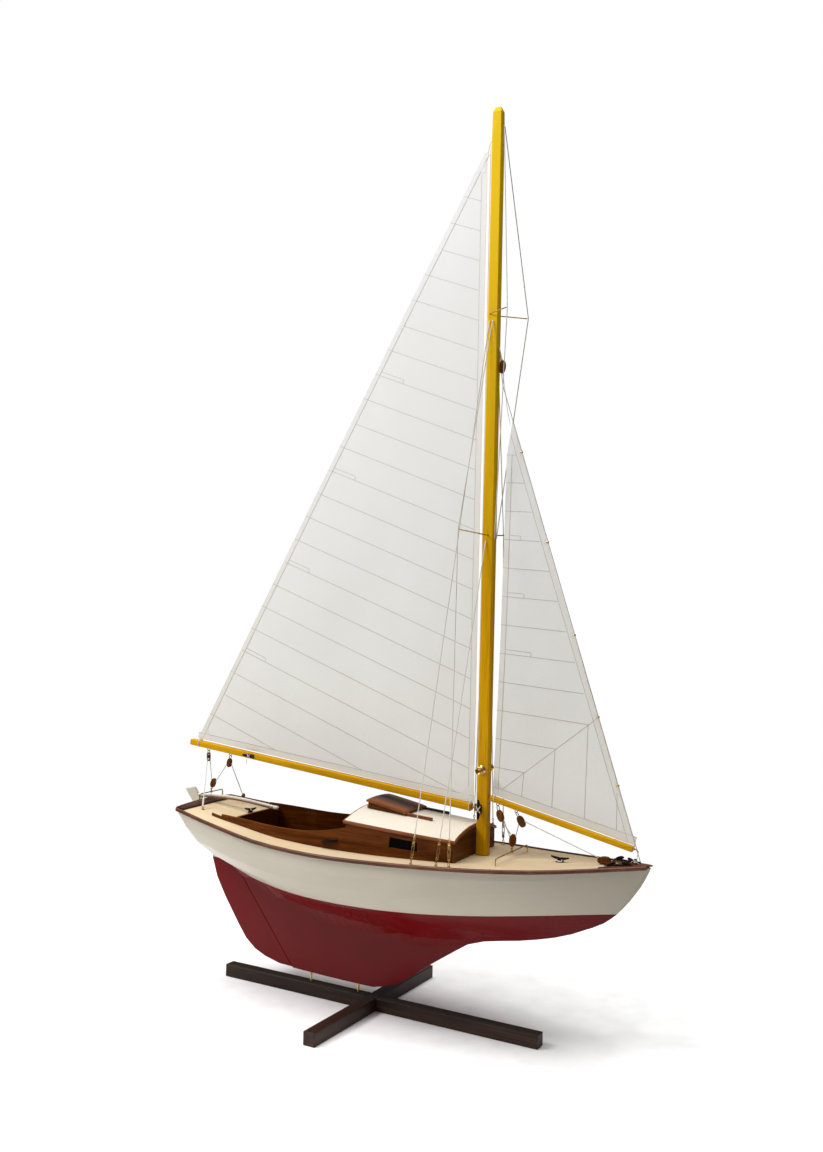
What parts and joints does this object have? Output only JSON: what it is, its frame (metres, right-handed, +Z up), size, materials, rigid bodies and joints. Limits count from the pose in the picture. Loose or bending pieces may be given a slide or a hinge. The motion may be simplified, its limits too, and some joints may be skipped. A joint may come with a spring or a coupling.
{
  "type": "model sailboat",
  "caption": "Radio-controlled wooden model yacht with long keel, cabin, fractional rig with main and jib booms, outboard rudder and a crossed-beam display stand.",
  "frame": {"origin": "centre of the underside of the crossed stand beams, on the surface it stands on", "axes": "+X to the bow, +Y to port, +Z up along the mast"},
  "size_m": [0.7892, 0.338, 1.319],
  "materials": {
    "stand_dark_wood": "dark brown stained wood, satin",
    "brass": "aged bright brass",
    "hull_paint": "painted wood, cream topsides over a dark red bottom, gloss",
    "lead": "dull cast metal",
    "deck_cream_wood": "cream varnished wood, satin",
    "rail_brown_wood": "brown varnished wood",
    "mahogany": "varnished mahogany, semi-gloss",
    "roof_white_paint": "white painted wood, satin",
    "dark_wood": "near-black brown wood",
    "spar_yellow_varnish": "yellow varnished wood, gloss",
    "sail_cloth": "off-white woven cloth",
    "cord_off_white": "off-white twisted cord",
    "block_wood": "polished brown wood",
    "rudder_paint": "dark red paint with a cream head, gloss",
    "tiller_pale_wood": "pale painted wood",
    "black_plastic": "black moulded plastic",
    "plywood": "plain plywood",
    "grey_plastic": "grey moulded plastic"
  },
  "bodies": {
    "boat_on_stand": {"stand_beam_long": "stand_dark_wood", "stand_beam_cross": "stand_dark_wood", "stand_pin_aft": "brass", "stand_pin_fore": "brass", "hull_shell": "hull_paint", "ballast_weight": "lead", "deck": "deck_cream_wood", "rail_starboard": "rail_brown_wood", "rail_port": "rail_brown_wood", "transom_cap": "rail_brown_wood", "coaming_starboard": "mahogany", "coaming_port": "mahogany", "cockpit_aft_coaming": "mahogany", "cockpit_sole": "deck_cream_wood", "cabin_bulkhead": "mahogany", "cabin_front": "mahogany", "cabin_roof": "roof_white_paint", "hatch_runner_starboard": "dark_wood", "hatch_runner_port": "dark_wood", "mast": "spar_yellow_varnish", "gooseneck": "brass", "spreaders": "brass", "jumper_strut": "brass", "main_sheet_horse": "brass", "jib_sheet_horse": "brass", "forestay": "brass", "jumper_stay": "cord_off_white", "cockpit_cleat": "dark_wood", "foredeck_cleat": "dark_wood", "bow_chock": "dark_wood", "servo_tray": "plywood", "battery_pack": "black_plastic", "receiver": "grey_plastic", "rudder_servo": "black_plastic", "main_sheet": "cord_off_white", "jib_sheet": "cord_off_white", "shroud_aft_starboard": "cord_off_white", "shroud_aft_port": "cord_off_white", "shroud_mid_starboard": "cord_off_white", "shroud_mid_port": "cord_off_white", "shroud_fore_starboard": "cord_off_white", "shroud_fore_port": "cord_off_white", "turnbuckle_aft_starboard": "brass", "turnbuckle_aft_port": "brass", "turnbuckle_mid_starboard": "brass", "turnbuckle_mid_port": "brass", "turnbuckle_fore_starboard": "brass", "turnbuckle_fore_port": "brass"},
    "rudder": {"rudder": "rudder_paint", "tiller": "tiller_pale_wood"},
    "servo_arm": {"servo_arm": "grey_plastic"},
    "main_boom": {"main_boom": "spar_yellow_varnish", "mainsail": "sail_cloth"},
    "jib_boom": {"jib_boom": "spar_yellow_varnish", "jib": "sail_cloth"},
    "hatch": {"hatch": "mahogany"},
    "main_block": {"main_sheet_block": "block_wood"},
    "jib_block": {"jib_sheet_block": "block_wood"},
    "winch_starboard": {"mast_winch_starboard": "brass"},
    "winch_port": {"mast_winch_port": "brass"}
  },
  "joints": [
    {"name": "rudder_steer", "type": "hinge", "parent": "boat_on_stand", "child": "rudder", "pos_m": [-0.144, 0, 0.035], "axis": [-0.6259, 0, 0.7799], "range_deg": [-25, 25]},
    {"name": "servo_arm_turn", "type": "hinge", "parent": "boat_on_stand", "child": "servo_arm", "pos_m": [-0.119, -0.018, 0.1909], "axis": [0, 0, 1], "range_deg": [-25, 25]},
    {"name": "main_boom_swing", "type": "hinge", "parent": "boat_on_stand", "child": "main_boom", "pos_m": [0.1618, 0, 0.3172], "axis": [0, 0, 1], "range_deg": [-50, 50], "deforming": ["main_sheet"]},
    {"name": "jib_boom_swing", "type": "hinge", "parent": "boat_on_stand", "child": "jib_boom", "pos_m": [0.40051, 0, 0.2883], "axis": [-0.3158, 0, 0.9488], "range_deg": [-35, 35], "deforming": ["jib_sheet"]},
    {"name": "hatch_slide", "type": "slide", "parent": "boat_on_stand", "child": "hatch", "axis": [0.9983, 0, -0.0582], "range_m": [0, 0.042]},
    {"name": "main_block_travel", "type": "slide", "parent": "boat_on_stand", "child": "main_block", "axis": [0, 1, 0], "range_m": [-0.023, 0.023]},
    {"name": "jib_block_travel", "type": "slide", "parent": "boat_on_stand", "child": "jib_block", "axis": [0, 1, 0], "range_m": [-0.047, 0.047]},
    {"name": "winch_starboard_turn", "type": "hinge", "parent": "boat_on_stand", "child": "winch_starboard", "pos_m": [0.1752, 0, 0.373], "axis": [0, 1, 0], "continuous": true},
    {"name": "winch_port_turn", "type": "hinge", "parent": "boat_on_stand", "child": "winch_port", "pos_m": [0.1752, 0, 0.373], "axis": [0, 1, 0], "continuous": true}
  ],
  "couplings": [
    {"joint": "servo_arm_turn", "follows": "rudder_steer", "ratio": 1}
  ]
}
